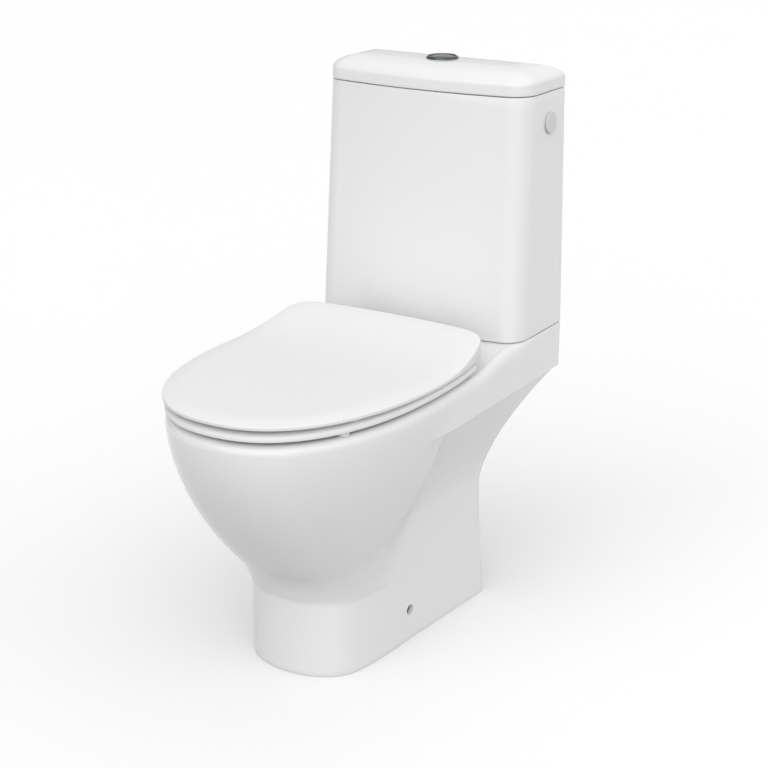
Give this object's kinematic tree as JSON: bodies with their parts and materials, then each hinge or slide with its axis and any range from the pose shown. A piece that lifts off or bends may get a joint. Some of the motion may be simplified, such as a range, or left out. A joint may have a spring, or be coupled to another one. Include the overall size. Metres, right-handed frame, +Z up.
{
  "type": "close coupled toilet",
  "caption": "Close coupled toilet with a tapered china pan, a cistern on its deck, a dual flush button and a hinged soft-close seat and lid.",
  "frame": {"origin": "on the floor, in the middle of the footprint, halfway between the wall plane and the front of the seat", "axes": "+Z up, -Y towards the front of the seat, +Y towards the wall, +X to the right seen from the front"},
  "size_m": [0.3564, 0.656, 0.8193],
  "materials": {
    "glazed_china": "fired white glaze, high gloss",
    "seat_thermoset": "moulded white thermoset, gloss",
    "chrome_plate": "chrome plated, polished",
    "cap_plastic": "moulded white, satin",
    "valve_plastic": "moulded, fine satin",
    "blue_plastic": "moulded, satin",
    "white_nylon": "moulded nylon",
    "buffer_plastic": "soft moulded plastic",
    "damper_plastic": "moulded, matt",
    "seal_rubber": "moulded rubber, matt",
    "plated_steel": "zinc plated, satin",
    "hinge_metal": "satin metal"
  },
  "bodies": {
    "pan": {"toilet_pan": "glazed_china", "cistern_tank": "glazed_china", "flush_valve_cage": "valve_plastic", "flush_rocker_pin": "plated_steel", "flush_valve_washer": "seal_rubber", "flush_valve_back_nut": "valve_plastic", "coupling_gasket": "seal_rubber", "coupling_bolts": "plated_steel", "coupling_bolt_washers": "seal_rubber", "coupling_wing_nuts": "white_nylon", "side_hole_cap": "cap_plastic", "side_hole_cap_nut": "cap_plastic", "fill_valve_body": "valve_plastic", "float_lever_pin": "plated_steel", "fill_valve_washer": "seal_rubber", "fill_valve_back_nut": "valve_plastic", "hinge_pillars": "hinge_metal", "hinge_pins": "plated_steel", "soft_close_dampers": "damper_plastic", "seat_fixing_studs": "plated_steel", "seat_fixing_washers": "seal_rubber", "seat_fixing_nuts": "white_nylon", "floor_brackets": "white_nylon", "side_fixing_screws": "plated_steel"},
    "cistern_cover": {"cistern_lid": "glazed_china", "button_bezel": "chrome_plate", "button_sleeve": "valve_plastic", "button_ring_nut": "valve_plastic"},
    "full_button": {"full_flush_button": "chrome_plate", "full_push_rod": "valve_plastic"},
    "half_button": {"half_flush_button": "chrome_plate", "half_push_rod": "valve_plastic"},
    "flush_lift": {"overflow_tube": "valve_plastic", "flush_seal": "seal_rubber"},
    "rocker": {"flush_rocker": "blue_plastic"},
    "float": {"fill_valve_float": "blue_plastic"},
    "inlet_lever": {"float_lever": "valve_plastic"},
    "ring": {"seat_ring": "seat_thermoset", "ring_buffers": "buffer_plastic"},
    "lid": {"seat_lid": "seat_thermoset", "lid_buffers": "buffer_plastic"}
  },
  "joints": [
    {"name": "seat_ring_hinge", "type": "hinge", "parent": "pan", "child": "ring", "pos_m": [0, 0.1, 0.434], "axis": [1, 0, 0], "range_deg": [-95, 0]},
    {"name": "seat_lid_hinge", "type": "hinge", "parent": "ring", "child": "lid", "pos_m": [0, 0.1, 0.434], "axis": [-1, 0, 0], "range_deg": [0, 98]},
    {"name": "cistern_lid_lift", "type": "slide", "parent": "pan", "child": "cistern_cover", "axis": [0, 0, 1], "range_m": [0, 0.15]},
    {"name": "full_flush_press", "type": "slide", "parent": "cistern_cover", "child": "full_button", "axis": [0, 0, -1], "range_m": [0, 0.006], "stiffness_N_per_m": 350, "springref_m": -0.004},
    {"name": "half_flush_press", "type": "slide", "parent": "cistern_cover", "child": "half_button", "axis": [0, 0, -1], "range_m": [0, 0.006], "stiffness_N_per_m": 350, "springref_m": -0.004},
    {"name": "flush_valve_lift", "type": "slide", "parent": "pan", "child": "flush_lift", "axis": [0, 0, 1], "range_m": [0, 0.0142]},
    {"name": "flush_rocker_turn", "type": "hinge", "parent": "pan", "child": "rocker", "pos_m": [0.004, 0.25, 0.66], "axis": [0, 1, 0], "range_deg": [0, 35.2]},
    {"name": "float_rise", "type": "slide", "parent": "pan", "child": "float", "axis": [0, 0, 1], "range_m": [0, 0.012]},
    {"name": "float_lever_turn", "type": "hinge", "parent": "pan", "child": "inlet_lever", "pos_m": [-0.124, 0.268, 0.728], "axis": [0, -1, 0], "range_deg": [0, 19.9]}
  ],
  "couplings": [
    {"joint": "flush_valve_lift", "follows": "full_flush_press", "ratio": 2.3333},
    {"joint": "flush_rocker_turn", "follows": "full_flush_press", "rad_per_m": 101.82},
    {"joint": "float_lever_turn", "follows": "float_rise", "rad_per_m": 28.75}
  ]
}
